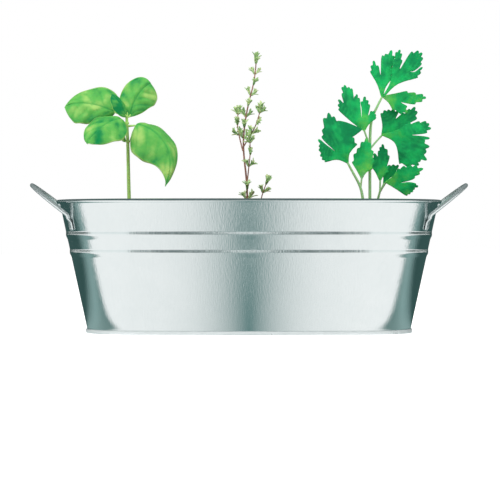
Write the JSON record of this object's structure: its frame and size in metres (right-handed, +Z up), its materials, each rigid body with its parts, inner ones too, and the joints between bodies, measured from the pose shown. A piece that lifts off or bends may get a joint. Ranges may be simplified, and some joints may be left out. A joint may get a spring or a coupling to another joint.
{
  "type": "indoor herb planter",
  "caption": "Oval flared zinc-coated steel tub with a curled rim, rolled beads and wire loop handles, filled with soil and planted with basil, thyme and parsley.",
  "frame": {"origin": "on the surface that the tub stands on, under the middle of the tub", "axes": "+X along the tub towards the parsley and the right handle, +Y across it towards the back, +Z up"},
  "size_m": [0.2846, 0.1282, 0.1826],
  "materials": {
    "zinc_sheet": "satin",
    "zinc_wire": "satin",
    "potting_soil": "matte",
    "basil_leaf": "satin",
    "basil_stem": "satin",
    "thyme_leaf": "matte",
    "thyme_twig": "matte",
    "parsley_leaf": "satin",
    "parsley_stem": "satin"
  },
  "bodies": {
    "root": {"base_pan": "zinc_sheet", "basil_axil_leaves": "basil_leaf", "basil_left_lower_leaf": "basil_leaf", "basil_left_upper_leaf": "basil_leaf", "basil_right_lower_leaf": "basil_leaf", "basil_right_upper_leaf": "basil_leaf", "basil_stem": "basil_stem", "basil_young_leaf": "basil_leaf", "left_handle": "zinc_wire", "parsley_left_leaflet": "parsley_leaf", "parsley_left_stalk": "parsley_stem", "parsley_left_stem": "parsley_stem", "parsley_lower_back_leaflet": "parsley_leaf", "parsley_lower_middle_leaflet": "parsley_leaf", "parsley_lower_right_leaflet": "parsley_leaf", "parsley_lower_side_leaflet": "parsley_leaf", "parsley_right_lower_leaflet": "parsley_leaf", "parsley_right_stalk": "parsley_stem", "parsley_right_stem": "parsley_stem", "parsley_right_upper_leaflet": "parsley_leaf", "parsley_stem": "parsley_stem", "parsley_top_left_leaflet": "parsley_leaf", "parsley_top_right_leaflet": "parsley_leaf", "parsley_top_side_leaflet": "parsley_leaf", "parsley_upper_left_leaflet": "parsley_leaf", "potting_soil": "potting_soil", "right_handle": "zinc_wire", "thyme_foot_leaves": "thyme_leaf", "thyme_left_branch": "thyme_twig", "thyme_left_leaves": "thyme_leaf", "thyme_low_branch": "thyme_twig", "thyme_low_leaves": "thyme_leaf", "thyme_right_branch": "thyme_twig", "thyme_right_leaves": "thyme_leaf", "thyme_sprig": "thyme_twig", "thyme_sprig_leaves": "thyme_leaf", "thyme_stem": "thyme_twig", "thyme_stem_leaves": "thyme_leaf", "tub_wall": "zinc_sheet"}
  },
  "joints": []
}
